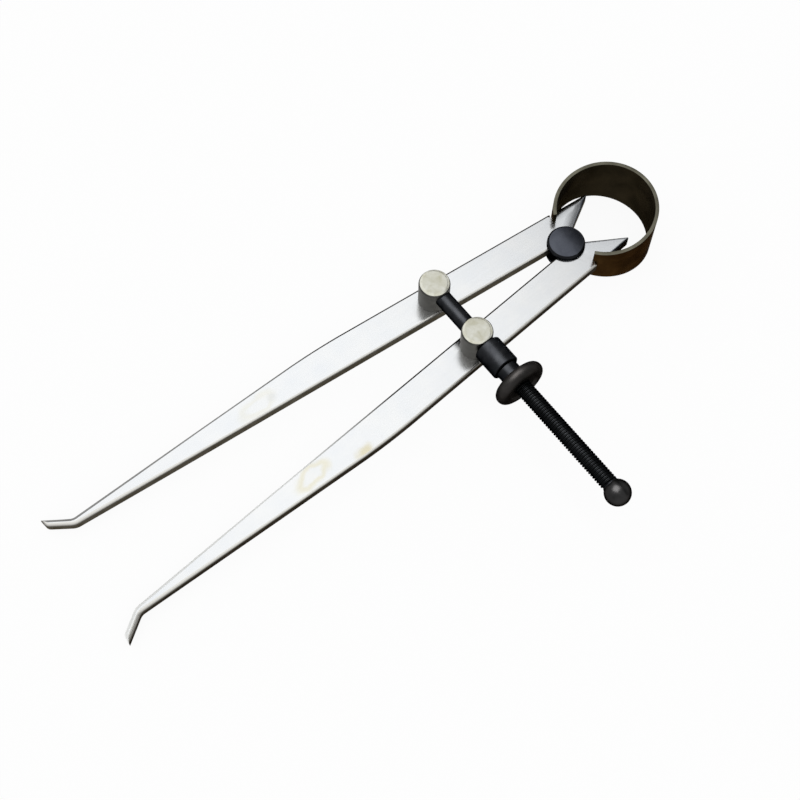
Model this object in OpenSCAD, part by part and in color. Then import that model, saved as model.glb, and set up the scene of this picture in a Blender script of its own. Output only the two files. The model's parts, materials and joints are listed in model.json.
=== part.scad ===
// Inside spring caliper: two notched legs on a roller, a bow spring, and a screw with a thumb nut.
// The roller's axis is Z, the bow is towards +Y, the tips towards -Y and the thumb nut towards +X.
// The origin lies on the roller's axis, on the outer face of its rear flange.

/* [Legs] */
// Distance from the roller's axis to the measuring tip, along a leg
leg_length = 150; // [130:1:200]
// Width of a leg beside the roller and the stud
leg_width = 8.8; // [8.2:0.1:11]
// Thickness of a leg
leg_thick = 3.2; // [2.6:0.1:4.4]
// Distance of a leg's inner edge from the roller's axis
leg_inset = 1.05; // [0.6:0.05:1.6]
// Angle of each leg to the middle line, as it stands
half_opening = 4.7; // [0:0.1:20]
// Distance from the roller's axis to where the outer edge turns into the taper
taper_start = 71.5; // [62:0.5:95]
// Radius of the outer edge where the taper begins
taper_radius = 200; // [80:5:260]
// Width of a leg where the tip bends outwards
tail_width = 2; // [1.6:0.1:3.2]
// Angle between a leg's axis and the sloping inner face of its horn
horn_angle = 34.6; // [33:0.2:44]
// Rounding of the horn's point
horn_round = 0.35; // [0.2:0.05:1.2]

/* [Tips] */
// Length of the bent tip, along the leg
tip_reach = 6.4; // [5:0.1:11]
// Angle that the tip is bent outwards
tip_angle = 30; // [18:0.5:45]
// Width of the bent tip
tip_width = 1.85; // [1:0.05:2.2]
// Length of the slope that sharpens the tip
tip_slope = 1.6; // [0.6:0.1:2.4]
// Outside radius of the bend
bend_radius = 4; // [1:0.5:6]
// Inside radius of the bend
bend_fillet = 2.5; // [0.5:0.5:4]

/* [Roller] */
// Diameter of the roller's two flanges
flange_d = 10; // [8.6:0.1:11]
// Thickness of one flange
flange_thick = 1.2; // [0.9:0.1:1.8]
// Chamfer on a flange's rim
flange_chamfer = 0.5; // [0.1:0.05:0.6]
// Rise of the front flange's face towards its middle
flange_crown = 0.45; // [0.1:0.05:0.6]
// Diameter of the roller's core, on which the legs rock
core_d = 6; // [4.6:0.1:6.8]

/* [Bow spring] */
// Outside diameter of the bow
bow_d = 27.3; // [25:0.1:34]
// Thickness of the spring strip
strip_thick = 0.95; // [0.8:0.05:1.5]
// Width of the strip at the top of the bow
bow_width = 16.4; // [14:0.2:20]
// Width of the strip at its two ends
bow_end_width = 10.3; // [8:0.1:13]
// Height of the strip's seat above the roller's axis, along a leg
seat_up = 2.1; // [1.2:0.1:3]
// Depth of the strip's seat below a leg's outer edge
seat_depth = 1.4; // [0.9:0.1:2]
// Length of the prongs that pass the left leg's faces
left_prong = 1.5; // [0.4:0.1:1.8]
// Length of the prongs that pass the right leg's faces
right_prong = 0.5; // [0.4:0.1:1.8]

/* [Studs] */
// Diameter of a stud
stud_d = 8.1; // [7.6:0.1:8.6]
// Height of a stud above the leg's face
stud_height = 8.3; // [7.8:0.1:11]
// Rounding of a stud's top edge
stud_round = 0.9; // [0.3:0.1:1.1]
// Distance from the roller's axis to a stud, along a leg
stud_along = 37.8; // [30:0.2:52]
// Diameter of a stud's tenon, which turns in the leg
tenon_d = 4.8; // [4:0.1:5.2]
// Outside diameter of the washer behind a leg
washer_d = 7.4; // [6.9:0.1:8]
// Thickness of that washer
washer_thick = 0.7; // [0.5:0.05:1]
// Diameter of the peened head on a tenon
peen_d = 6.2; // [5.7:0.1:6.6]
// Height of the peened head
peen_height = 0.6; // [0.4:0.05:0.9]
// Diameter of the flat on the peened head
peen_flat_d = 3.8; // [3:0.1:4.4]
// Height of the peened head's rim
peen_rim = 0.2; // [0.1:0.05:0.3]

/* [Adjusting screw] */
// Outside diameter of the screw
screw_d = 4.4; // [3.6:0.1:4.6]
// Height of the screw's axis above the legs' face
screw_up = 5.2; // [4.8:0.1:5.4]
// Distance from the left stud's axis to the middle of the ball
screw_length = 70; // [64:0.5:90]
// Depth of the screw's end past the left stud's axis
screw_depth = 2.3; // [1.5:0.1:2.8]
// Diameter of the ball on the screw's free end
ball_d = 6.7; // [5.6:0.1:8]

/* [Nut and sleeve] */
// Outside diameter of the thrust sleeve
sleeve_d = 7.5; // [6.6:0.1:7.8]
// Length of the thrust sleeve
sleeve_length = 7.6; // [5:0.1:10]
// Chamfer on the thrust sleeve's ends
sleeve_chamfer = 0.3; // [0.1:0.05:0.6]
// Depth of the flat on the right stud that the sleeve bears on
seat_flat = 0.2; // [0.1:0.05:0.4]
// Diameter of the nut's rim
nut_d = 14; // [12:0.2:18]
// Thickness of the nut's rim
nut_rim = 3.5; // [2.6:0.1:4.4]
// Diameter of the nut's neck
neck_d = 5.8; // [5.4:0.1:6.4]
// Length of the nut's neck
neck_length = 3.2; // [2:0.1:5]
// Depth of the hollow in the nut's outer face
nut_dish = 0.6; // [0.2:0.1:1]
// Width of the flat ring around that hollow
nut_ring = 0.6; // [0.2:0.1:1.2]

/* [Fits] */
// Gap between a leg and each flange of the roller
side_gap = 0.1; // [0.05:0.05:0.3]
// Gap around the roller's core
core_gap = 0.06; // [0.03:0.01:0.15]
// Gap between the strip's end and the seat that it bears on
seat_gap = 0.06; // [0.03:0.01:0.15]
// Room on each side of the strip in a leg's notch
notch_gap = 0.4; // [0.2:0.05:0.6]
// Gap between a prong and a leg's face
prong_gap = 0.2; // [0.1:0.05:0.4]
// Gap around a tenon
tenon_gap = 0.08; // [0.04:0.02:0.2]
// Gap under a stud's shoulder and above its washer
face_gap = 0.05; // [0.02:0.01:0.1]
// Gap around the screw in the right stud and the sleeve
screw_gap = 0.2; // [0.1:0.05:0.3]
// Gap around the screw in the nut, between the crests
thread_gap = 0.08; // [0.04:0.02:0.2]

/* [Hidden] */
$fn = 96;
bright_steel = "#d9dbdc";
nickel = "#cfccbb";
black_oxide = "#26262a";
tempered_steel = "#3a3024";

// How far a cutting solid runs past what it cuts
past = 1;

// Steps in a rounded corner of a leg's outline, and in a rounded edge of a turned piece
corner_steps = 8;
round_steps = 12;

// Heights of the leg's faces, of the screw's axis and of the middle of the legs
leg_back = flange_thick + side_gap;
leg_face = leg_back + leg_thick;
leg_mid = leg_back + leg_thick / 2;
screw_z = leg_face + screw_up;
roller_height = 2 * leg_back + leg_thick;

// A point given as [outwards, upwards] in the right leg's own frame, in the part's frame
function on_leg(p) = [
    p[0] * cos(half_opening) - p[1] * sin(half_opening),
    p[0] * sin(half_opening) + p[1] * cos(half_opening)
];

// Places on a leg
leg_outer = leg_inset + leg_width;
stud_out = leg_inset + leg_width / 2;
stud_at = on_leg([stud_out, -stud_along]);

// The bow's middle radius, its seat on the right leg and its centre on the middle line
bow_mid_r = (bow_d - strip_thick) / 2;
seat_at = on_leg([leg_outer - seat_depth, seat_up]);
bow_y = seat_at[1] + sqrt(pow(bow_mid_r, 2) - pow(seat_at[0], 2));
seat_angle = atan2(seat_at[1] - bow_y, seat_at[0]);
function prong_angle(length) = seat_angle - length / bow_mid_r * 180 / PI;
prong_y = bow_y + bow_mid_r * sin(prong_angle(max(left_prong, right_prong)));
crown_y = bow_y + bow_d / 2;

// Places along the screw's axis, from the left stud to the ball
screw_end_x = -stud_at[0] - screw_depth;
ball_x = screw_length - stud_at[0];
sleeve_x = stud_at[0] + stud_d / 2 - seat_flat + face_gap;
nut_x = sleeve_x + sleeve_length + face_gap;

// The tip: lines along the inner and outer edges of the bent end, and the points where they start
tip_dir = [sin(tip_angle), -cos(tip_angle)];
tip_side = [cos(tip_angle), sin(tip_angle)];
bend_inner = [leg_inset, tip_reach - leg_length];
hook_outer = bend_inner + tip_width * tip_side;
hook_run = (hook_outer[1] + leg_length) / cos(tip_angle);
tip_point = hook_outer + hook_run * tip_dir;
tip_heel = bend_inner + (hook_run - tip_slope) * tip_dir;
bend_outer = hook_outer + (leg_inset + tail_width - hook_outer[0]) / sin(tip_angle) * tip_dir;

// An arc of radius r that rounds the corner b between the points a and c
function corner(a, b, c, r) =
    let (u = (a - b) / norm(a - b))
    let (v = (c - b) / norm(c - b))
    let (half = acos(u * v) / 2)
    let (mid = (u + v) / norm(u + v))
    let (centre = b + mid * r / sin(half))
    let (from = b + u * r / tan(half) - centre)
    let (turn = 180 - 2 * half)
    let (side = sign(u[0] * v[1] - u[1] * v[0]))
    [for (i = [0 : corner_steps]) let (t = -side * turn * i / corner_steps)
        centre + [from[0] * cos(t) - from[1] * sin(t), from[0] * sin(t) + from[1] * cos(t)]];

// A leg's outline in its own frame: x is outwards, y towards the bow, and the roller is at the origin
module leg_outline() {
    horn_foot = [leg_inset, leg_inset / tan(horn_angle)];
    horn_point = [leg_outer, leg_outer / tan(horn_angle)];
    shoulder = [leg_outer, -taper_start];
    polygon(concat(
        [horn_foot],
        corner(horn_foot, bend_inner, tip_heel, bend_radius),
        [tip_heel, tip_point],
        corner(tip_point, bend_outer, shoulder, bend_fillet),
        corner(bend_outer, shoulder, horn_point, taper_radius),
        corner(shoulder, horn_point, horn_foot, horn_round)
    ));
}

// The room that the strip's end takes in the right leg, in the part's frame
module strip_notch() {
    width = strip_thick + 2 * notch_gap;
    translate([seat_at[0], seat_at[1], leg_back - past])
        rotate([0, 0, seat_angle + 90])
            translate([-seat_gap, -width / 2, 0])
                cube([leg_width, width, leg_thick + 2 * past]);
}

// A leg on the right side; the left one is turned over
module leg() {
    difference() {
        rotate([0, 0, half_opening])
            translate([0, 0, leg_back])
                linear_extrude(leg_thick)
                    leg_outline();
        translate([0, 0, leg_back - past])
            cylinder(h = leg_thick + 2 * past, d = core_d + 2 * core_gap);
        translate([stud_at[0], stud_at[1], leg_back - past])
            cylinder(h = leg_thick + 2 * past, d = tenon_d + 2 * tenon_gap);
        strip_notch();
    }
}

module leg_right() {
    color(bright_steel)
        leg();
}

module leg_left() {
    color(bright_steel)
        mirror([1, 0, 0])
            leg();
}

// A turned spool: a core between two chamfered flanges, the front one slightly coned
module fulcrum_roller() {
    flange_r = flange_d / 2;
    core_r = core_d / 2;
    color(black_oxide)
        rotate_extrude()
            polygon([
                [0, 0],
                [flange_r - flange_chamfer, 0],
                [flange_r, flange_chamfer],
                [flange_r, flange_thick],
                [core_r, flange_thick],
                [core_r, roller_height - flange_thick],
                [flange_r, roller_height - flange_thick],
                [flange_r, roller_height - flange_chamfer],
                [flange_r - flange_chamfer, roller_height],
                [0, roller_height + flange_crown]
            ]);
}

// The wedge below the bow's centre that stays open between the strip's ends
module bow_gap() {
    reach = bow_d;
    polygon([
        [0, 0],
        [reach * cos(prong_angle(right_prong)), reach * sin(prong_angle(right_prong))],
        [0, -2 * reach],
        [-reach * cos(prong_angle(left_prong)), reach * sin(prong_angle(left_prong))]
    ]);
}

// Side view of the strip, widest at the crown, as [along Y, along Z]
module bow_side() {
    polygon([
        [prong_y - past, leg_mid - bow_end_width / 2],
        [crown_y, leg_mid - bow_width / 2],
        [crown_y, leg_mid + bow_width / 2],
        [prong_y - past, leg_mid + bow_end_width / 2]
    ]);
}

// The slot between the prongs of the strip's right end, past its seat
module prong_slot(length) {
    translate([seat_at[0], seat_at[1], leg_back - prong_gap])
        rotate([0, 0, seat_angle + 90])
            translate([-length - past, -strip_thick, 0])
                cube([length + past, 2 * strip_thick, leg_thick + 2 * prong_gap]);
}

// A flat strip bent to a bow, tapered to its ends, where two prongs pass each leg
module bow_spring() {
    color(tempered_steel)
        difference() {
            intersection() {
                translate([0, bow_y, leg_mid - bow_width])
                    linear_extrude(2 * bow_width)
                        difference() {
                            circle(d = bow_d);
                            circle(d = bow_d - 2 * strip_thick);
                            bow_gap();
                        }
                rotate([90, 0, 90])
                    linear_extrude(2 * bow_d, center = true)
                        bow_side();
            }
            prong_slot(right_prong);
            mirror([1, 0, 0])
                prong_slot(left_prong);
        }
}

// A stud without its cross bore: rounded top, shoulder, tenon and peened head, along Z
module stud_blank() {
    stud_r = stud_d / 2;
    tenon_r = tenon_d / 2;
    peen_r = peen_d / 2;
    top = leg_face + stud_height;
    shoulder = leg_face + face_gap;
    washer_back = leg_back - face_gap - washer_thick;
    rotate_extrude()
        polygon(concat(
            [[0, washer_back - peen_height]],
            [[peen_flat_d / 2, washer_back - peen_height]],
            [[peen_r, washer_back - peen_rim]],
            [[peen_r, washer_back]],
            [[tenon_r, washer_back]],
            [[tenon_r, shoulder]],
            [[stud_r, shoulder]],
            [for (i = [0 : round_steps]) let (t = 90 * i / round_steps)
                [stud_r - stud_round + stud_round * cos(t), top - stud_round + stud_round * sin(t)]],
            [[0, top]]
        ));
}

// The screw's end is pressed into a blind cross bore in the left stud
module stud_left() {
    color(nickel)
        difference() {
            translate([-stud_at[0], stud_at[1], 0])
                stud_blank();
            translate([screw_end_x, stud_at[1], screw_z])
                rotate([0, 90, 0])
                    cylinder(h = screw_depth + stud_d, d = screw_d);
        }
}

// The screw slides through the right stud, and the sleeve bears on a flat on its outer side
module stud_right() {
    color(nickel)
        difference() {
            translate([stud_at[0], stud_at[1], 0])
                stud_blank();
            translate([stud_at[0] - stud_d, stud_at[1], screw_z])
                rotate([0, 90, 0])
                    cylinder(h = 2 * stud_d, d = screw_d + 2 * screw_gap);
            translate([sleeve_x - face_gap, stud_at[1] - stud_d, leg_face])
                cube([stud_d, 2 * stud_d, stud_height + past]);
        }
}

// The washer between a leg's back and the peened head
module stud_washer() {
    translate([stud_at[0], stud_at[1], leg_back - face_gap - washer_thick])
        difference() {
            cylinder(h = washer_thick, d = washer_d);
            translate([0, 0, -past])
                cylinder(h = washer_thick + 2 * past, d = tenon_d + 2 * tenon_gap);
        }
}

module washer_left() {
    color(bright_steel)
        mirror([1, 0, 0])
            stud_washer();
}

module washer_right() {
    color(bright_steel)
        stud_washer();
}

// A turned rod with a ball on its free end
module adjusting_screw() {
    color(black_oxide)
        translate([0, stud_at[1], screw_z]) {
            translate([screw_end_x, 0, 0])
                rotate([0, 90, 0])
                    cylinder(h = ball_x - screw_end_x, d = screw_d);
            translate([ball_x, 0, 0])
                sphere(d = ball_d);
        }
}

// The collar between the right stud and the nut
module thrust_sleeve() {
    sleeve_r = sleeve_d / 2;
    bore_r = screw_d / 2 + screw_gap;
    color(black_oxide)
        translate([sleeve_x, stud_at[1], screw_z])
            rotate([0, 90, 0])
                rotate_extrude()
                    polygon([
                        [bore_r, 0],
                        [sleeve_r - sleeve_chamfer, 0],
                        [sleeve_r, sleeve_chamfer],
                        [sleeve_r, sleeve_length - sleeve_chamfer],
                        [sleeve_r - sleeve_chamfer, sleeve_length],
                        [bore_r, sleeve_length]
                    ]);
}

// A turned nut: a neck, and a wheel with a full-round rim and a dished outer face
module thumb_nut() {
    rim_r = nut_rim / 2;
    rim_mid = nut_d / 2 - rim_r;
    bore_r = screw_d / 2 + thread_gap;
    total = neck_length + nut_rim;
    dish_r = rim_mid - nut_ring;
    color(black_oxide)
        translate([nut_x, stud_at[1], screw_z])
            rotate([0, 90, 0])
                rotate_extrude()
                    polygon(concat(
                        [[bore_r, 0]],
                        [[neck_d / 2, 0]],
                        [[neck_d / 2, neck_length]],
                        [for (i = [0 : round_steps]) let (t = -90 + 180 * i / round_steps)
                            [rim_mid + rim_r * cos(t), neck_length + rim_r + rim_r * sin(t)]],
                        [[dish_r, total]],
                        [[dish_r - nut_dish, total - nut_dish]],
                        [[bore_r, total - nut_dish]]
                    ));
}

leg_left();
leg_right();
fulcrum_roller();
bow_spring();
stud_left();
stud_right();
washer_left();
washer_right();
adjusting_screw();
thrust_sleeve();
thumb_nut();
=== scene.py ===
"""Looks, light and camera for an inside spring caliper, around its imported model."""
import json
import math

import bmesh
import bpy
from mathutils import Matrix, Vector, kdtree

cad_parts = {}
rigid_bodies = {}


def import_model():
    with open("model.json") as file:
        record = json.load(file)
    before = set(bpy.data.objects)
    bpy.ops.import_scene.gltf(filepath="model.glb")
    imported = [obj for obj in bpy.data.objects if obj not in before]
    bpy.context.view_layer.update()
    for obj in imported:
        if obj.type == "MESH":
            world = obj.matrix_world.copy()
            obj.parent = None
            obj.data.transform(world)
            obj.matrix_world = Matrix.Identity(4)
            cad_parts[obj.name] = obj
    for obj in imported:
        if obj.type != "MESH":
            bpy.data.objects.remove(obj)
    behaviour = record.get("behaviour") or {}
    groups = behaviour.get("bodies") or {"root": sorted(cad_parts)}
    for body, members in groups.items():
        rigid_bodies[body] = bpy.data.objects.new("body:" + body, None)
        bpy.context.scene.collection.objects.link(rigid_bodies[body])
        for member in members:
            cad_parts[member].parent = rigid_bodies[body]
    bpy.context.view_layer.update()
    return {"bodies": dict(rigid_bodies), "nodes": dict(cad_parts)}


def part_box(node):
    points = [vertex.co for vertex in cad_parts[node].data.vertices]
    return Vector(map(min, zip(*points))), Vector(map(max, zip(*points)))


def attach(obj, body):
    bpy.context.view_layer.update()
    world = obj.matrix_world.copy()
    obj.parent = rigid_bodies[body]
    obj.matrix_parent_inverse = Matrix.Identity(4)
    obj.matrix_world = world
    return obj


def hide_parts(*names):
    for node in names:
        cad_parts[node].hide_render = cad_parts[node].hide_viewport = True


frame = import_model()
scene = bpy.context.scene
MM = 0.001

# Sizes that the part's source gives: the screw's diameter in metres, and the angle of the bow's right seat
SCREW_D = 4.4 * MM
SEAT_ANGLE = -51.2

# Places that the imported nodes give, in metres
leg_low, leg_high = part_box("leg_right")
screw_low, screw_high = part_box("adjusting_screw")
bow_low, bow_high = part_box("bow_spring")
LEG_FACE = leg_high.z
TIP_Y = leg_low.y
SCREW_Y = (screw_low.y + screw_high.y) / 2
SCREW_Z = (screw_low.z + screw_high.z) / 2
BALL_R = (screw_high.z - screw_low.z) / 2
BALL_X = screw_high.x - BALL_R
BALL_START = BALL_X - math.sqrt(BALL_R ** 2 - (SCREW_D / 2) ** 2)
BOW_R = (bow_high.x - bow_low.x) / 2
BOW_Y = bow_high.y - BOW_R


# Colours and nodes

def linear(code):
    """An sRGB hex colour as linear red, green, blue and alpha."""
    parts = [int(code[i:i + 2], 16) / 255 for i in (1, 3, 5)]
    return [c / 12.92 if c <= 0.04045 else ((c + 0.055) / 1.055) ** 2.4 for c in parts] + [1.0]


def add(tree, kind, inputs=None, **settings):
    """Adds a node; inputs go by name or number and are values or sockets to link."""
    node = tree.nodes.new(kind)
    for name, value in settings.items():
        setattr(node, name, value)
    for key, value in (inputs or {}).items():
        if isinstance(value, bpy.types.NodeSocket):
            tree.links.new(value, node.inputs[key])
        else:
            node.inputs[key].default_value = value
    return node


def start_metal(name):
    """A new metal with its tree, its object coordinates and its shader."""
    material = bpy.data.materials.new(name)
    material.use_nodes = True
    tree = material.node_tree
    tree.nodes.clear()
    shader = add(tree, "ShaderNodeBsdfPrincipled", {"Metallic": 1.0})
    add(tree, "ShaderNodeOutputMaterial", {"Surface": shader.outputs[0]})
    place = add(tree, "ShaderNodeTexCoord").outputs["Object"]
    return material, tree, place, shader


def link(tree, shader, **sockets):
    """Links the sockets to the shader's inputs, with underscores for spaces."""
    for name, socket in sockets.items():
        tree.links.new(socket, shader.inputs[name.replace("_", " ")])


def per_mm(size):
    """The scale of a pattern whose features are about this many millimetres across."""
    return 1 / (size * MM)


# Finishes

# Sizes of the ground steel's patterns, in mm; its scratches are coarser than real ones, so that they show
SCRATCH_WIDTH, SCRATCH_LENGTH = 0.4, 16
CLOUD_SIZE = 7
# The marks' outlines wander by up to half of this reach to each side, over lengths of this many mm
WANDER_REACH, WANDER_SIZE = 3 * MM, 4
# Each oil mark: centre and half lengths in mm, turn in degrees, how much of it is hollow, strength, colour
OIL_MARKS = [
    ((11.5, -90.6), (3.3, 6.8), 10, 0.62, 0.42, "#e4d9a8"),
    ((14.6, -76.9), (2.5, 3.7), 0, 0.0, 0.62, "#dccf9c"),
    ((-11.4, -90.8), (3.4, 7.2), 4, 0.6, 0.2, "#e2dab0"),
    ((-11.0, -86.4), (1.5, 2.2), 0, 0.0, 0.25, "#d2d6de"),
]
# How deep a mark reaches below the leg's face
MARK_DEPTH = 3 * MM
# As shares of a mark's size: the even middle of a full one, and the band where a hollow one's middle fades
MARK_EVEN, HOLLOW_FADE = 0.2, 0.25


# Ground bright steel: bar stock with its flats surface ground along the leg and left in use.
# The eye sees a pale satin sheen, faint lengthwise scratches, clouding and a few dried oil marks.
def ground_bright_steel():
    material, tree, place, shader = start_metal("ground bright steel")
    lengthwise = (per_mm(SCRATCH_WIDTH), per_mm(SCRATCH_LENGTH), per_mm(SCRATCH_WIDTH))
    along = add(tree, "ShaderNodeMapping", {"Vector": place, "Scale": lengthwise})
    scratch = add(tree, "ShaderNodeTexNoise", {"Vector": along.outputs[0], "Scale": 1.0, "Detail": 4.0})
    cloud = add(tree, "ShaderNodeTexNoise", {"Vector": place, "Scale": per_mm(CLOUD_SIZE), "Detail": 6.0,
                                             "Roughness": 0.6})
    cloud = add(tree, "ShaderNodeMapRange", {"Value": cloud.outputs[0], "From Min": 0.3, "From Max": 0.7})
    wander = add(tree, "ShaderNodeTexNoise", {"Vector": place, "Scale": per_mm(WANDER_SIZE), "Detail": 2.0})
    shift = add(tree, "ShaderNodeVectorMath", {0: wander.outputs["Color"], 1: (0.5, 0.5, 0.5)},
                operation="SUBTRACT")
    shift = add(tree, "ShaderNodeVectorMath", {0: shift.outputs[0], "Scale": WANDER_REACH},
                operation="SCALE")
    wavy = add(tree, "ShaderNodeVectorMath", {0: place, 1: shift.outputs[0]}, operation="ADD").outputs[0]
    colour = add(tree, "ShaderNodeMix", {0: cloud.outputs[0], 6: linear("#f0f2f4"), 7: linear("#f7f7f6")},
                 data_type="RGBA").outputs[2]
    for (x, y), (half_x, half_y), turn, hollow, strength, tint in OIL_MARKS:
        local = add(tree, "ShaderNodeMapping", {
            "Vector": wavy, "Location": (x * MM, y * MM, LEG_FACE), "Rotation": (0, 0, math.radians(turn)),
            "Scale": (half_x * MM, half_y * MM, MARK_DEPTH)}, vector_type="TEXTURE")
        far = add(tree, "ShaderNodeVectorMath", {0: local.outputs[0]}, operation="LENGTH").outputs["Value"]
        fade = add(tree, "ShaderNodeMapRange", {
            "Value": far, "From Min": 1.0, "From Max": max(hollow, MARK_EVEN), "To Max": strength},
            interpolation_type="SMOOTHSTEP").outputs[0]
        if hollow > 0:
            rim = add(tree, "ShaderNodeMapRange", {
                "Value": far, "From Min": hollow - HOLLOW_FADE, "From Max": hollow, "To Min": 0.1},
                interpolation_type="SMOOTHSTEP").outputs[0]
            fade = add(tree, "ShaderNodeMath", {0: fade, 1: rim}, operation="MULTIPLY").outputs[0]
        colour = add(tree, "ShaderNodeMix", {0: fade, 6: colour, 7: linear(tint)},
                     data_type="RGBA").outputs[2]
    rough = add(tree, "ShaderNodeMapRange", {"Value": scratch.outputs[0], "To Min": 0.19, "To Max": 0.26})
    bump = add(tree, "ShaderNodeBump", {"Height": scratch.outputs[0], "Strength": 0.02,
                                        "Distance": 0.02 * MM})
    link(tree, shader, Base_Color=colour, Roughness=rough.outputs[0], Normal=bump.outputs[0])
    return material


# Where along Y the right leg's inner corner begins to turn pale, and where it is palest: partly wear and
# partly a painted highlight
PALE_WEAR_AND_HIGHLIGHT_FROM, PALE_WEAR_AND_HIGHLIGHT_TO = -62 * MM, -92 * MM
# The left leg's share of that paling
LEFT_WEAR_AND_HIGHLIGHT = 0.3


# Corners of the bar, dark towards the bow, partly scale and partly painted shade, and pale along the lower
# half, partly wear and partly a painted highlight.
def scale_and_painted_shade_corner():
    material, tree, place, shader = start_metal("scaled corner steel with painted shade")
    patch = add(tree, "ShaderNodeTexNoise", {"Vector": place, "Scale": per_mm(5), "Detail": 4.0})
    along = add(tree, "ShaderNodeSeparateXYZ", {0: place})
    wear_and_highlight = add(tree, "ShaderNodeMapRange", {"Value": along.outputs[1], "From Min": PALE_WEAR_AND_HIGHLIGHT_FROM,
                                            "From Max": PALE_WEAR_AND_HIGHLIGHT_TO})
    right = add(tree, "ShaderNodeMath", {0: along.outputs[0], 1: 0.0}, operation="GREATER_THAN")
    most = add(tree, "ShaderNodeMapRange", {"Value": right.outputs[0], "To Min": LEFT_WEAR_AND_HIGHLIGHT})
    wear_and_highlight = add(tree, "ShaderNodeMath", {0: wear_and_highlight.outputs[0], 1: most.outputs[0]}, operation="MULTIPLY")
    spread = add(tree, "ShaderNodeMapRange", {"Value": patch.outputs[0], "From Min": 0.3, "From Max": 0.7})
    scale = add(tree, "ShaderNodeMix", {0: spread.outputs[0], 6: linear("#25211c"), 7: linear("#3a3630")},
                data_type="RGBA")
    colour = add(tree, "ShaderNodeMix", {0: wear_and_highlight.outputs[0], 6: scale.outputs[2], 7: linear("#eeeeec")},
                 data_type="RGBA")
    rough = add(tree, "ShaderNodeMapRange", {"Value": wear_and_highlight.outputs[0], "To Min": 0.36, "To Max": 0.7})
    link(tree, shader, Base_Color=colour.outputs[2], Roughness=rough.outputs[0])
    return material


# A rubbed or filed corner with painted shade: pale beside the flat, then darker where it turns down to the
# edge.
# Colours go from dark to pale between the two values of the normal along Z that are given as facing, so the
# shade is painted by how each face is turned.
def painted_shade_corner(name, colours, facing, roughness):
    material, tree, place, shader = start_metal(name)
    patch = add(tree, "ShaderNodeTexNoise", {"Vector": place, "Scale": per_mm(4), "Detail": 4.0})
    normal = add(tree, "ShaderNodeSeparateXYZ", {0: add(tree, "ShaderNodeNewGeometry").outputs["Normal"]})
    painted_light_share = add(tree, "ShaderNodeMapRange", {"Value": normal.outputs[2], "From Min": facing[0],
                                                 "From Max": facing[1]})
    dark, pale = [linear(code) for code in colours]
    colour = add(tree, "ShaderNodeMix", {0: painted_light_share.outputs[0], 6: dark, 7: pale}, data_type="RGBA")
    rough = add(tree, "ShaderNodeMapRange", {"Value": patch.outputs[0], "To Min": roughness[0],
                                             "To Max": roughness[1]})
    link(tree, shader, Base_Color=colour.outputs[2], Roughness=rough.outputs[0])
    return material


# A thin skin on steel, mottled in patches: an oiled oxide, a rolled scale, a plating or a heat colour.
# The slant is its colour seen aslant, which keeps a dark skin dark along its outline.
def mottled_skin(name, colours, roughness, patch_mm, slant="#ffffff"):
    material, tree, place, shader = start_metal(name)
    shader.inputs["Specular Tint"].default_value = linear(slant)
    patch = add(tree, "ShaderNodeTexNoise", {"Vector": place, "Scale": per_mm(patch_mm), "Detail": 5.0,
                                             "Distortion": 0.4})
    spread = add(tree, "ShaderNodeMapRange", {"Value": patch.outputs[0], "From Min": 0.3, "From Max": 0.7})
    dark, pale = [linear(code) for code in colours]
    colour = add(tree, "ShaderNodeMix", {0: spread.outputs[0], 6: dark, 7: pale}, data_type="RGBA")
    rough = add(tree, "ShaderNodeMapRange", {"Value": patch.outputs[0], "To Min": roughness[0],
                                             "To Max": roughness[1]})
    link(tree, shader, Base_Color=colour.outputs[2], Roughness=rough.outputs[0])
    return material


FLAT = ground_bright_steel()
SCALED_PAINTED_SHADE = scale_and_painted_shade_corner()
# Towards the nut the legs' corners are rubbed, and the horns' front edges are filed over; both take painted
# shade, pale on top and dark where they turn down
RUBBED_PAINTED_SHADE = painted_shade_corner("rubbed corner steel with painted shade", ("#4a463e", "#eceae4"), (0.35, 0.97), (0.32, 0.44))
FILED_PAINTED_SHADE = painted_shade_corner("filed horn steel with painted shade", ("#50535a", "#f2f4f6"), (0.93, 1.0), (0.2, 0.26))
# The legs' edges keep the dull grey-brown skin of the rolled bar, darker on the right leg; their darkness
# is partly that skin and partly a painted dark reflection
EDGE = {
    "left": mottled_skin("dark rolled edge steel with painted dark reflection", ("#4b4841", "#635f57"), (0.42, 0.6), 4, "#a8a298"),
    "right": mottled_skin("darker rolled edge steel with painted dark reflection", ("#37332c", "#4c473f"), (0.42, 0.6), 4, "#8f897f"),
}
# The studs' tops are faced and plated, lightly tarnished to ivory, and their sides are dark grey, partly
# darker plate and partly a painted dark reflection
NICKEL = mottled_skin("dull nickel plate", ("#cdcab5", "#ecebe0"), (0.3, 0.42), 2)
DARK_PLATE_AND_PAINTED_REFLECTION = mottled_skin("dark nickel plate with painted dark reflection", ("#403f3d", "#545350"), (0.36, 0.46), 3, "#f0efec")
# Turned and oiled black oxide, blue-black with a soft grey highlight, and blacker on the thread
OXIDE = mottled_skin("black oxide steel", ("#191a1c", "#27282a"), (0.36, 0.44), 3, "#646668")
DARKER_THREAD_OXIDE = mottled_skin("darker black oxide steel on the thread", ("#0f1010", "#161718"), (0.36, 0.44), 3, "#505253")
# The same skin where fingers rub it, greyer: nut's wheel, ball and roller's face; the nut's wheel and the
# ball are a little brown aslant, a painted warm reflection
THUMBED = mottled_skin("thumbed black oxide steel", ("#252423", "#333130"), (0.4, 0.5), 3, "#7a746c")
HANDLED = mottled_skin("handled black oxide steel", ("#282828", "#363535"), (0.28, 0.36), 3, "#7a7670")
ROLLER = mottled_skin("rubbed black oxide steel", ("#4a4d55", "#5a5d65"), (0.14, 0.2), 3, "#d6d7d9")
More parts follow.
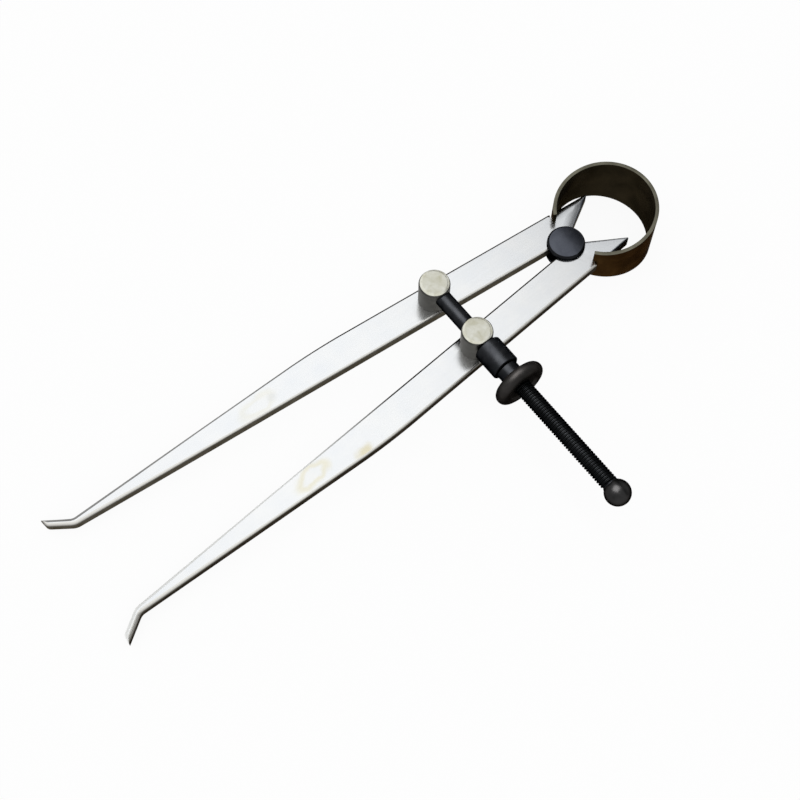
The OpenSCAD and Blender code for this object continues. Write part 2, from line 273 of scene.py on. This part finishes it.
# Rolled strip with a brown-black heat skin, paler where its edges are rubbed; the outside is browner than
# the inside, partly the skin and partly a painted brown reflection
BOW_INSIDE = mottled_skin("tempered spring steel inside", ("#2c2820", "#3b352a"), (0.5, 0.62), 5, "#726b58")
BOW_OUTSIDE = mottled_skin("tempered spring steel outside", ("#36291a", "#4a3923"), (0.45, 0.6), 5,
                           "#7d6a50")
BOW_RIM = mottled_skin("rubbed spring steel edge", ("#5f5c50", "#7f7c6d"), (0.34, 0.48), 4)


# Making pieces

# Points nearer than this are one, and faces within this angle are one flat
SAME_POINT, SAME_FLAT = 0.002 * MM, math.radians(0.6)
# Edges sharper than the first angle are eased, and those sharper than the second are shaded as sharp
EASED_FROM, SHARP_FROM = math.radians(32), math.radians(36)
# A face looks up, down or along an axis if at least this much of its normal does
FACING = 0.9
# Room for rounding when heights are compared
HAIR = 0.01 * MM


def finish_piece(name, mesh, body, slot, *nodes):
    """Links a mesh as a piece at the origin that rides on a body and stands for nodes."""
    piece = bpy.data.objects.new(name, mesh)
    scene.collection.objects.link(piece)
    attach(piece, body)
    if nodes:
        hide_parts(*nodes)
    return piece


def merged(node, choose):
    """A copy of a node's mesh, merged, with the faces' materials chosen."""
    work = bmesh.new()
    work.from_mesh(frame["nodes"][node].data)
    bmesh.ops.remove_doubles(work, verts=work.verts, dist=SAME_POINT)
    bmesh.ops.dissolve_limit(work, angle_limit=SAME_FLAT, verts=work.verts, edges=work.edges)
    for face in work.faces:
        face.material_index = choose(face)
    return work


def ease(work, width, rim=-1, clamp=True, bottom=-1.0, top=1.0):
    """Eases by width, in mm, the sharp edges whose upper ends lie between bottom and top along Y."""
    sharp = [e for e in work.edges if len(e.link_faces) == 2 and e.calc_face_angle(0) > EASED_FROM
             and bottom < max(v.co.y for v in e.verts) < top]
    bmesh.ops.bevel(work, geom=sharp, offset=width * MM, offset_type="OFFSET", segments=3, profile=0.5,
                    affect="EDGES", clamp_overlap=clamp, material=rim)


def shown(work, name, materials):
    """The finished mesh of a piece, smooth but for its sharp edges."""
    bmesh.ops.triangulate(work, faces=[f for f in work.faces if len(f.verts) > 4])
    mesh = bpy.data.meshes.new(name)
    work.to_mesh(mesh)
    work.free()
    for material in materials:
        mesh.materials.append(material)
    mesh.shade_smooth()
    mesh.set_sharp_from_angle(angle=SHARP_FROM)
    return mesh


def eased(node, width, materials, choose):
    """A node's mesh with its sharp edges eased."""
    work = merged(node, choose)
    ease(work, width)
    return shown(work, node + "_look", materials)


def weigh(piece):
    """Keeps the flats flat where the eased edges meet them."""
    piece.modifiers.new("flat flats", "WEIGHTED_NORMAL").keep_sharp = True


def cut(work, geometry, point, normal):
    """Cuts the given geometry along a plane and keeps both sides."""
    bmesh.ops.bisect_plane(work, geom=geometry, plane_co=point, plane_no=normal)


# Legs, studs and washers

# A leg's skins, by their place in its list of materials
FLAT_SKIN, EDGE_SKIN, SCALED_PAINTED_SHADE_SKIN, RUBBED_PAINTED_SHADE_SKIN, FILED_PAINTED_SHADE_SKIN = range(5)
# The front edges of each leg's horn, above its notch, are rounded by this much across and down;
# the left horn is filed rounder than the right one
NOTCH_Y = 3 * MM
HORN_ROUND = {"left": (2.8 * MM, 0.75 * MM), "right": (0.6 * MM, 0.4 * MM)}
# The cuts that the rounding follows, as shares of its width
HORN_CUTS = (0.06, 0.18, 0.36, 0.6, 1.0)
# Each of the horn's two large upright faces has more than this area
HORN_SIDE_AREA = 15 * MM * MM
# The legs' other corners, in mm, grow rounder by this factor from one height to another, towards the tips
CORNER, TIP_CORNER = 0.55, 1.5
ROUNDER_FROM, ROUNDER_TO = -105 * MM, -140 * MM
# The upright edge at the tip's point, within this of the leg's lowest Y, stays sharp
TIP_POINT = 0.1 * MM
# An eased corner that faces the front by less than this belongs to the edge
CORNER_FACING = 0.15
# How far the studs' and the washers' edges are eased, in mm
STUD_EDGE, WASHER_EDGE = 0.08, 0.1
# A stud's top ends where its faces look up by less than this
STUD_TOP = 0.74


def plain(face):
    return 0


# Upright faces take the dark edge skin: partly the bar's skin and partly a painted dark reflection
def up_or_side(face):
    return FLAT_SKIN if abs(face.normal.z) > FACING else EDGE_SKIN


# A stud's top takes the pale plate and its sides the dark one, whose darkness is partly a painted dark
# reflection
def stud_top_or_side(face):
    return 0 if face.normal.z > STUD_TOP else 1


def on_horn(face):
    return face.calc_center_median().y > NOTCH_Y


def round_horn(work, across, down):
    """Rounds a horn's front edges along its slope and its outer side, its two large upright faces."""
    cut(work, work.verts[:] + work.edges[:] + work.faces[:], (0, NOTCH_Y, 0), (0, 1, 0))
    planes = []
    for face in work.faces:
        if abs(face.normal.z) < 1 - FACING and on_horn(face) and face.calc_area() > HORN_SIDE_AREA:
            planes.append((face.calc_center_median(), -face.normal.copy()))
    cuts = [(point + inward * across * share, inward) for point, inward in planes for share in HORN_CUTS]
    # The two rounded edges meet along the line that halves the horn's point
    (one, one_in), (two, two_in) = planes
    between = one_in - two_in
    cuts.append((between * (one.dot(one_in) - two.dot(two_in)) / between.length_squared, between))
    for point, inward in cuts:
        faces = [f for f in work.faces if on_horn(f)]
        edges = list({e for f in faces for e in f.edges})
        verts = list({v for f in faces for v in f.verts})
        cut(work, verts + edges + faces, point, inward)
    fronts = [f for f in work.faces if f.normal.z > FACING and on_horn(f)]
    bmesh.ops.triangulate(work, faces=[f for f in fronts if len(f.verts) > 4])
    for vertex in work.verts:
        if vertex.co.z > LEG_FACE - HAIR and vertex.co.y > NOTCH_Y + HAIR:
            away = min((vertex.co - point).dot(inward) / across for point, inward in planes)
            away = min(max(away, 0), 1)
            vertex.co.z -= down * (1 - math.sqrt(1 - (1 - away) ** 2))
    # The horn's rounded top takes the filed skin, painted pale on top and dark where it turns down
    for face in work.faces:
        if face.material_index == FLAT_SKIN and face.normal.z > 0 and on_horn(face):
            face.material_index = FILED_PAINTED_SHADE_SKIN


def leg_mesh(side):
    """A leg with a rounded horn, eased corners and rounder tips."""
    work = merged(f"leg_{side}", up_or_side)
    round_horn(work, *HORN_ROUND[side])
    cut(work, work.verts[:] + work.edges[:] + work.faces[:], (0, ROUNDER_FROM, 0), (0, 1, 0))
    corners = kdtree.KDTree(len(work.verts))
    for i, vertex in enumerate(work.verts):
        corners.insert(vertex.co, i)
    corners.balance()
    ease(work, CORNER, SCALED_PAINTED_SHADE_SKIN, clamp=False, bottom=TIP_Y + TIP_POINT, top=NOTCH_Y - HAIR)
    for vertex in work.verts:
        if vertex.co.y < ROUNDER_FROM:
            nearest = corners.find(vertex.co)[0]
            share = min(max((nearest.y - ROUNDER_FROM) / (ROUNDER_TO - ROUNDER_FROM), 0), 1)
            vertex.co = nearest + (vertex.co - nearest) * (1 + (TIP_CORNER - 1) * share)
    # Eased corners that face +X take the pale-topped rubbed skin and those that face −X keep the dark one:
    # painted light and painted shade by the side a corner faces, partly real wear and scale
    for face in work.faces:
        if face.material_index == SCALED_PAINTED_SHADE_SKIN and face.normal.z < CORNER_FACING:
            face.material_index = EDGE_SKIN
        elif face.material_index == SCALED_PAINTED_SHADE_SKIN and face.normal.x > 0:
            face.material_index = RUBBED_PAINTED_SHADE_SKIN
    return shown(work, f"leg_{side}_look", [FLAT, EDGE[side], SCALED_PAINTED_SHADE, RUBBED_PAINTED_SHADE, FILED_PAINTED_SHADE])


for side in ("left", "right"):
    leg = finish_piece(f"leg_{side}_look", leg_mesh(side), f"leg_{side}", "bright_steel", f"leg_{side}")
    weigh(leg)
    mesh = eased(f"stud_{side}", STUD_EDGE, [NICKEL, DARK_PLATE_AND_PAINTED_REFLECTION], stud_top_or_side)
    stud = finish_piece(f"stud_{side}_look", mesh, f"post_{side}", "nickel_plated_steel", f"stud_{side}")
    weigh(stud)
    mesh = eased(f"washer_{side}", WASHER_EDGE, [FLAT], plain)
    washer = finish_piece(f"washer_{side}_look", mesh, f"post_{side}", "bright_steel", f"washer_{side}")
    weigh(washer)


# Roller, sleeve and nut

# Faces that look up by more than this are the roller's front
ROLLER_FRONT = 0.97
# The nut's neck lies within this radius
NECK_R = 3 * MM


def roller_face(face):
    """The roller's front, which the fingers rub, takes its second skin."""
    return 1 if face.normal.z > ROLLER_FRONT else 0


def nut_wheel(face):
    """The nut's wheel, which the fingers turn, takes its second skin, and the neck and the bore do not."""
    middle = face.calc_center_median()
    radius = math.hypot(middle.y - SCREW_Y, middle.z - SCREW_Z)
    return 1 if abs(face.normal.x) > FACING or radius > NECK_R else 0


# Each turned black piece: node, body, how far its edges are eased in mm, skins, and which face has which
turned_pieces = {}
for node, body, width, skins, choose in (
        ("fulcrum_roller", "fulcrum", 0.12, [OXIDE, ROLLER], roller_face),
        ("thrust_sleeve", "post_right", 0.1, [OXIDE], plain),
        ("thumb_nut", "nut", 0.12, [OXIDE, THUMBED], nut_wheel)):
    mesh = eased(node, width, skins, choose)
    turned_pieces[node] = finish_piece(f"{node}_look", mesh, body, "black_oxide_steel", node)
    weigh(turned_pieces[node])


# Bow spring

# How far the strip's edges are eased, in mm, and how much of a normal makes a face its rim or its outside
STRIP_EDGE = 0.15
STRIP_RIM, STRIP_OUTSIDE = 0.6, 0.7
# Each leg holds the strip up to this many degrees past its seat, and less and less over this many more
HELD_PAST, HELD_FADE = 12, 100


def strip_side(face):
    """Which skin a face of the bow has: the rim, the outside, or the inside and the ends."""
    if abs(face.normal.z) > STRIP_RIM:
        return 2
    middle = face.calc_center_median()
    outward = Vector((middle.x, middle.y - BOW_Y, 0)).normalized()
    return 1 if face.normal.dot(outward) > STRIP_OUTSIDE else 0


mesh = eased("bow_spring", STRIP_EDGE, [BOW_INSIDE, BOW_OUTSIDE, BOW_RIM], strip_side)
bow = finish_piece("bow_spring_look", mesh, "bow", "tempered_spring_steel", "bow_spring")

# The strip's ends stay in the legs' notches as the legs swing, and the bow bends in between
for side, sign in (("left", -1), ("right", 1)):
    group = bow.vertex_groups.new(name=f"end_{side}")
    for vertex in bow.data.vertices:
        angle = math.degrees(math.atan2(vertex.co.y - BOW_Y, sign * vertex.co.x))
        share = min(max((angle - SEAT_ANGLE - HELD_PAST) / HELD_FADE, 0), 1) if -90 < angle < 90 else 1
        group.add([vertex.index], 1 - share * share * (3 - 2 * share), "REPLACE")
    hook = bow.modifiers.new(f"seat_{side}", "HOOK")
    hook.object = frame["bodies"][f"leg_{side}"]
    hook.vertex_group = group.name
    hook.matrix_inverse = Matrix.Identity(4)
weigh(bow)


# The adjusting screw: a smooth shank, a threaded length and a ball, turned about X

THREAD_FROM, THREAD_TO = 12 * MM, 58.4 * MM
PITCH, THREAD_DEPTH = 0.75 * MM, 0.3 * MM
ROOT_R = SCREW_D / 2 - THREAD_DEPTH
# The chamfer on the shank's end; the slopes at the thread's ends are twice as long
SHANK_CHAMFER = 0.2 * MM
# Steps around the screw, along the ball's outline and in each turn of the thread
SCREW_STEPS, BALL_STEPS, TURN_STEPS = 64, 24, 28
# The ridge's foot and crest as shares of the pitch, and its height as a share of the depth:
# it reaches a little below the root, so that no gap shows between them
RIDGE_FOOT, RIDGE_CREST, RIDGE_HEIGHT = 0.94, 0.34, 1.16


def turned(name, profile, steps, materials, choose):
    """A mesh turned about the screw's axis, from points given as along and radius, in metres."""
    work = bmesh.new()
    rings = []
    for along, radius in profile:
        ring = []
        for i in range(steps if radius > 0 else 1):
            a = 2 * math.pi * i / steps
            y, z = SCREW_Y + radius * math.cos(a), SCREW_Z + radius * math.sin(a)
            ring.append(work.verts.new((along, y, z)))
        rings.append(ring)
    for one, two in zip(rings, rings[1:]):
        for i in range(steps):
            j = (i + 1) % steps
            corners = [one[i % len(one)], two[i % len(two)], two[j % len(two)], one[j % len(one)]]
            work.faces.new(list(dict.fromkeys(corners)))
    bmesh.ops.recalc_face_normals(work, faces=work.faces)
    for face in work.faces:
        face.material_index = choose(face)
    return shown(work, name, materials)


def screw_profile():
    """The shank, the threaded length at its root, and the ball, whose last point is on the axis."""
    full, edge = SCREW_D / 2, SHANK_CHAMFER
    end = screw_low.x
    points = [(end, 0), (end, full - edge), (end + edge, full), (THREAD_FROM - 2 * edge, full),
              (THREAD_FROM, ROOT_R), (THREAD_TO, ROOT_R), (THREAD_TO + 2 * edge, full)]
    first = math.asin(full / BALL_R)
    for i in range(BALL_STEPS):
        a = math.pi - first - (math.pi - first) * i / BALL_STEPS
        points.append((BALL_X + BALL_R * math.cos(a), BALL_R * math.sin(a)))
    return points + [(BALL_X + BALL_R, 0)]


def ball_or_shank(face):
    return 1 if face.calc_center_median().x > BALL_START else 0


mesh = turned("adjusting_screw_look", screw_profile(), SCREW_STEPS, [OXIDE, HANDLED], ball_or_shank)
screw = finish_piece("adjusting_screw_look", mesh, "post_left", "black_oxide_steel", "adjusting_screw")


# The thread: one ridge along a helix, made by a node tree with its sizes as inputs
def thread_tree(material):
    """The node tree, and the identifiers of its inputs by name."""
    tree = bpy.data.node_groups.new("screw thread", "GeometryNodeTree")
    sockets = {}
    for name in ("Pitch", "Length", "Root radius", "Depth"):
        socket = tree.interface.new_socket(name, in_out="INPUT", socket_type="NodeSocketFloat")
        sockets[name] = socket.identifier
    tree.interface.new_socket("Geometry", in_out="OUTPUT", socket_type="NodeSocketGeometry")
    given = add(tree, "NodeGroupInput").outputs
    pitch, length, depth = given["Pitch"], given["Length"], given["Depth"]
    turns = add(tree, "ShaderNodeMath", {0: length, 1: pitch}, operation="DIVIDE").outputs[0]
    height = add(tree, "ShaderNodeMath", {0: depth, 1: RIDGE_HEIGHT}, operation="MULTIPLY").outputs[0]
    half = add(tree, "ShaderNodeMath", {0: height, 1: 0.5}, operation="MULTIPLY").outputs[0]
    rise = add(tree, "ShaderNodeMath", {0: depth, 1: half}, operation="SUBTRACT").outputs[0]
    middle = add(tree, "ShaderNodeMath", {0: given["Root radius"], 1: rise}, operation="ADD").outputs[0]
    foot = add(tree, "ShaderNodeMath", {0: pitch, 1: RIDGE_FOOT}, operation="MULTIPLY").outputs[0]
    crest = add(tree, "ShaderNodeMath", {0: pitch, 1: RIDGE_CREST}, operation="MULTIPLY").outputs[0]
    helix = add(tree, "GeometryNodeCurveSpiral", {
        "Resolution": TURN_STEPS, "Rotations": turns, "Height": length,
        "Start Radius": middle, "End Radius": middle})
    upright = add(tree, "GeometryNodeSetCurveNormal", {"Curve": helix.outputs[0]}, mode="Z_UP")
    ridge = add(tree, "GeometryNodeCurvePrimitiveQuadrilateral", {
        "Bottom Width": foot, "Top Width": crest, "Offset": 0.0, "Height": height}, mode="TRAPEZOID")
    # The profile's X runs across the screw, so the ridge is turned to point its crest outwards
    ridge = add(tree, "GeometryNodeTransform", {"Geometry": ridge.outputs[0],
                                                "Rotation": (0, 0, math.radians(90))})
    swept = add(tree, "GeometryNodeCurveToMesh", {"Curve": upright.outputs[0],
                                                  "Profile Curve": ridge.outputs[0], "Fill Caps": True})
    real = add(tree, "GeometryNodeRealizeInstances", {"Geometry": swept.outputs[0]})
    painted = add(tree, "GeometryNodeSetMaterial", {"Geometry": real.outputs[0], "Material": material})
    add(tree, "NodeGroupOutput", {0: painted.outputs[0]})
    return tree, sockets


def thread_mesh():
    """The tree's result as a plain mesh, laid along the screw."""
    holder = bpy.data.objects.new("thread_source", bpy.data.meshes.new("thread_source"))
    scene.collection.objects.link(holder)
    tree, sockets = thread_tree(DARKER_THREAD_OXIDE)
    modifier = holder.modifiers.new("thread", "NODES")
    modifier.node_group = tree
    sizes = {"Pitch": PITCH, "Length": THREAD_TO - THREAD_FROM, "Root radius": ROOT_R,
             "Depth": THREAD_DEPTH}
    for name, value in sizes.items():
        modifier[sockets[name]] = value
    graph = bpy.context.evaluated_depsgraph_get()
    mesh = bpy.data.meshes.new_from_object(holder.evaluated_get(graph))
    bpy.data.objects.remove(holder)
    turn = Matrix.Rotation(math.radians(90), 4, "Y")
    mesh.transform(Matrix.Translation((THREAD_FROM, SCREW_Y, SCREW_Z)) @ turn)
    work = bmesh.new()
    work.from_mesh(mesh)
    bmesh.ops.recalc_face_normals(work, faces=work.faces)
    work.to_mesh(mesh)
    work.free()
    return mesh


thread = finish_piece("adjusting_screw_thread", thread_mesh(), "post_left", "black_oxide_steel")


# Floor, light and camera

# The share of the floor that is its own white, its half width in metres, and the gap under the tool
OWN_WHITE = 0.93
FLOOR_HALF = 20.0
FLOOR_GAP = 0.02 * MM
# How bright the sky is for each share of Y in the direction, from the tips' side to the bow's side
SKY_STEPS = [(-0.3, 0.9), (0.02, 0.91), (0.14, 1.0), (0.22, 0.97), (0.3, 0.98), (0.36, 0.99), (0.4, 0.88),
             (0.43, 0.6), (0.45, 0.44), (0.54, 0.08), (0.63, 0.08), (0.78, 0.7), (0.9, 0.85)]
SKY_STRENGTH = 1.07
# The sky's faint blue, as factors of red, green and blue
SKY_TINT = (0.99, 1.0, 1.01)
# The softbox's width in metres and its watts; it stands 1 m from the spot it aims at, to this side of it
SOFTBOX_WIDTH, SOFTBOX_WATTS = 0.9, 22.0
SOFTBOX_AIM = Vector((0.01, -0.05, 0.0))
SOFTBOX_SIDE = Vector((-0.33, -0.12, 0.93))
# The camera from the perspective fit: its lens and sensor in mm, its place, and the picture's right and up
LENS, SENSOR = 65.67, 36.0
CAMERA_AT = Vector((128.27, -155.32, 333.11)) * MM
CAMERA_RIGHT = Vector((0.61395, 0.78934, 0.00172))
CAMERA_UP = Vector((-0.71703, 0.5568, 0.41933))


def pale_floor():
    """White board, mostly its own white to the eye and to metal, so that a faint soft shadow is left."""
    material = bpy.data.materials.new("white board")
    material.use_nodes = True
    tree = material.node_tree
    tree.nodes.clear()
    path = add(tree, "ShaderNodeLightPath").outputs
    seen = add(tree, "ShaderNodeMath", {0: path["Is Camera Ray"], 1: path["Is Glossy Ray"]},
               operation="ADD")
    seen = add(tree, "ShaderNodeMath", {0: seen.outputs[0], 1: path["Is Transmission Ray"]},
               operation="ADD")
    share = add(tree, "ShaderNodeMath", {0: seen.outputs[0], 1: OWN_WHITE}, operation="MULTIPLY",
                use_clamp=True)
    matt = add(tree, "ShaderNodeBsdfDiffuse", {"Color": linear("#fbfbfa")})
    white = add(tree, "ShaderNodeEmission", {"Color": (1, 1, 1, 1), "Strength": 1.0})
    mixed = add(tree, "ShaderNodeMixShader", {0: share.outputs[0], 1: matt.outputs[0], 2: white.outputs[0]})
    add(tree, "ShaderNodeOutputMaterial", {"Surface": mixed.outputs[0]})
    return material


def make_floor():
    """The tool lies on the bow's lower edge and on the backs of the tips, so the floor slopes with it."""
    rise = (leg_low.z - bow_low.z) / (bow_high.y - TIP_Y)
    corners = []
    for x, y in ((-1, -1), (1, -1), (1, 1), (-1, 1)):
        height = bow_low.z + (bow_high.y - y * FLOOR_HALF) * rise - FLOOR_GAP
        corners.append((x * FLOOR_HALF, y * FLOOR_HALF, height))
    mesh = bpy.data.meshes.new("floor")
    mesh.from_pydata(corners, [], [(0, 1, 2, 3)])
    mesh.materials.append(pale_floor())
    floor = bpy.data.objects.new("floor", mesh)
    scene.collection.objects.link(floor)


def make_sky():
    """A sky that is bright but for a dark band behind the bow."""
    world = bpy.data.worlds.new("studio")
    scene.world = world
    world.use_nodes = True
    tree = world.node_tree
    tree.nodes.clear()
    toward = add(tree, "ShaderNodeSeparateXYZ", {0: add(tree, "ShaderNodeTexCoord").outputs["Generated"]})
    first, last = SKY_STEPS[0][0], SKY_STEPS[-1][0]
    share = add(tree, "ShaderNodeMapRange", {"Value": toward.outputs[1], "From Min": first,
                                             "From Max": last})
    sky = add(tree, "ShaderNodeValToRGB", {0: share.outputs[0]})
    stops = sky.color_ramp.elements
    for i, (along, level) in enumerate(SKY_STEPS):
        place = (along - first) / (last - first)
        stop = stops[i] if i < 2 else stops.new(place)
        stop.position = place
        stop.color = [level * factor for factor in SKY_TINT] + [1]
    back = add(tree, "ShaderNodeBackground", {"Color": sky.outputs[0], "Strength": SKY_STRENGTH})
    add(tree, "ShaderNodeOutputWorld", {"Surface": back.outputs[0]})


def make_softbox(pieces):
    """A softbox that lights the given pieces only, because the legs' flats would mirror it."""
    lamp = bpy.data.lights.new("softbox", "AREA")
    lamp.shape = "SQUARE"
    lamp.size = SOFTBOX_WIDTH
    lamp.energy = SOFTBOX_WATTS
    box = bpy.data.objects.new("softbox", lamp)
    scene.collection.objects.link(box)
    box.location = SOFTBOX_AIM + SOFTBOX_SIDE.normalized()
    box.rotation_mode = "QUATERNION"
    box.rotation_quaternion = (SOFTBOX_AIM - box.location).to_track_quat("-Z", "Y")
    lit = bpy.data.collections.new("black rods")
    for piece in pieces:
        lit.objects.link(piece)
    box.light_linking.receiver_collection = lit


def make_camera():
    """The photograph's view."""
    camera = bpy.data.objects.new("camera", bpy.data.cameras.new("camera"))
    scene.collection.objects.link(camera)
    camera.data.sensor_width = SENSOR
    camera.data.lens = LENS
    camera.data.clip_start, camera.data.clip_end = 0.01, 20.0
    back = CAMERA_RIGHT.cross(CAMERA_UP)
    turn = Matrix((CAMERA_RIGHT, CAMERA_UP, back)).transposed().to_4x4()
    camera.matrix_world = Matrix.Translation(CAMERA_AT) @ turn
    scene.camera = camera


make_floor()
make_sky()
make_softbox([turned_pieces["thrust_sleeve"], turned_pieces["thumb_nut"], screw, thread])
make_camera()
scene.view_settings.view_transform = "Standard"
